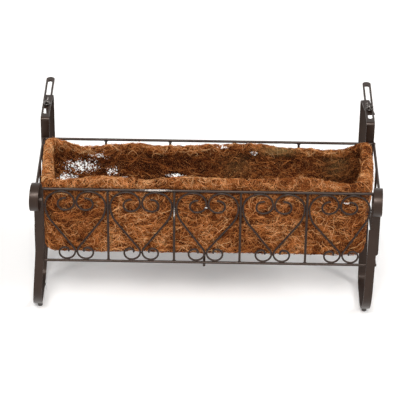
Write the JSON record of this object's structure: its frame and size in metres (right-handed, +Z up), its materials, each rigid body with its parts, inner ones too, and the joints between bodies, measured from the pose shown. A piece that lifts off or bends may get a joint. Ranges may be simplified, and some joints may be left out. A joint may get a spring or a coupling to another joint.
{
  "type": "window box planter",
  "caption": "Wire window box planter with heart scrolls, a coco-fibre liner and flat-bar hangers whose slotted arms carry screw clamps for hooking over a balcony rail.",
  "frame": {"origin": "on the floor under the middle of the whole outline", "axes": "+X to the right seen from the front, along the length; +Y from the front panel back towards the rail that the arms hook over; +Z up"},
  "size_m": [0.8036, 0.4963, 0.4215],
  "materials": {
    "bronze_paint": "satin dark bronze paint",
    "plated_hardware": "dull plated steel",
    "foot_plastic": "matte grey",
    "coco_fibre": "matted coconut fibre"
  },
  "bodies": {
    "basket_frame": {"front_top_rail": "bronze_paint", "rear_top_rail": "bronze_paint", "left_top_side_rail": "bronze_paint", "right_top_side_rail": "bronze_paint", "front_bottom_rail": "bronze_paint", "rear_bottom_rail": "bronze_paint", "left_bottom_side_rail": "bronze_paint", "right_bottom_side_rail": "bronze_paint", "centre_cross_rod": "bronze_paint", "front_divider_1": "bronze_paint", "front_divider_2": "bronze_paint", "front_divider_3": "bronze_paint", "front_divider_4": "bronze_paint", "rear_divider_1": "bronze_paint", "rear_divider_2": "bronze_paint", "rear_divider_3": "bronze_paint", "rear_divider_4": "bronze_paint", "left_end_post": "bronze_paint", "right_end_post": "bronze_paint", "left_end_divider": "bronze_paint", "right_end_divider": "bronze_paint", "heart_1_left_scroll": "bronze_paint", "heart_1_right_scroll": "bronze_paint", "heart_2_left_scroll": "bronze_paint", "heart_2_right_scroll": "bronze_paint", "heart_3_left_scroll": "bronze_paint", "heart_3_right_scroll": "bronze_paint", "heart_4_left_scroll": "bronze_paint", "heart_4_right_scroll": "bronze_paint", "heart_5_left_scroll": "bronze_paint", "heart_5_right_scroll": "bronze_paint", "left_curl_strap": "bronze_paint", "right_curl_strap": "bronze_paint", "left_hanger_strap": "bronze_paint", "right_hanger_strap": "bronze_paint", "left_front_foot": "foot_plastic", "left_rear_foot": "foot_plastic", "right_front_foot": "foot_plastic", "right_rear_foot": "foot_plastic"},
    "coco_liner": {"coco_liner": "coco_fibre"},
    "left_clamp_slider": {"left_clamp_bolt": "plated_hardware", "left_clamp_washer": "plated_hardware"},
    "left_clamp_leg": {"left_clamp_leg": "bronze_paint"},
    "left_wing_nut": {"left_wing_nut": "plated_hardware"},
    "right_clamp_slider": {"right_clamp_bolt": "plated_hardware", "right_clamp_washer": "plated_hardware"},
    "right_clamp_leg": {"right_clamp_leg": "bronze_paint"},
    "right_wing_nut": {"right_wing_nut": "plated_hardware"}
  },
  "joints": [
    {"name": "liner_lift", "type": "slide", "parent": "basket_frame", "child": "coco_liner", "axis": [0, 0, 1], "range_m": [0, 0.25]},
    {"name": "left_clamp_slide", "type": "slide", "parent": "basket_frame", "child": "left_clamp_slider", "axis": [0, 1, 0], "range_m": [-0.028, 0.108]},
    {"name": "left_clamp_swivel", "type": "hinge", "parent": "left_clamp_slider", "child": "left_clamp_leg", "pos_m": [-0.388, 0.11622, 0.4068], "axis": [0, 0, 1], "range_deg": [-87, 93]},
    {"name": "left_wing_nut_turn", "type": "hinge", "parent": "left_clamp_slider", "child": "left_wing_nut", "pos_m": [-0.388, 0.11622, 0.4068], "axis": [0, 0, 1], "continuous": true},
    {"name": "right_clamp_slide", "type": "slide", "parent": "basket_frame", "child": "right_clamp_slider", "axis": [0, 1, 0], "range_m": [-0.028, 0.108]},
    {"name": "right_clamp_swivel", "type": "hinge", "parent": "right_clamp_slider", "child": "right_clamp_leg", "pos_m": [0.382, 0.11622, 0.4068], "axis": [0, 0, 1], "range_deg": [-98.5, 81.5]},
    {"name": "right_wing_nut_turn", "type": "hinge", "parent": "right_clamp_slider", "child": "right_wing_nut", "pos_m": [0.382, 0.11622, 0.4068], "axis": [0, 0, 1], "continuous": true}
  ]
}
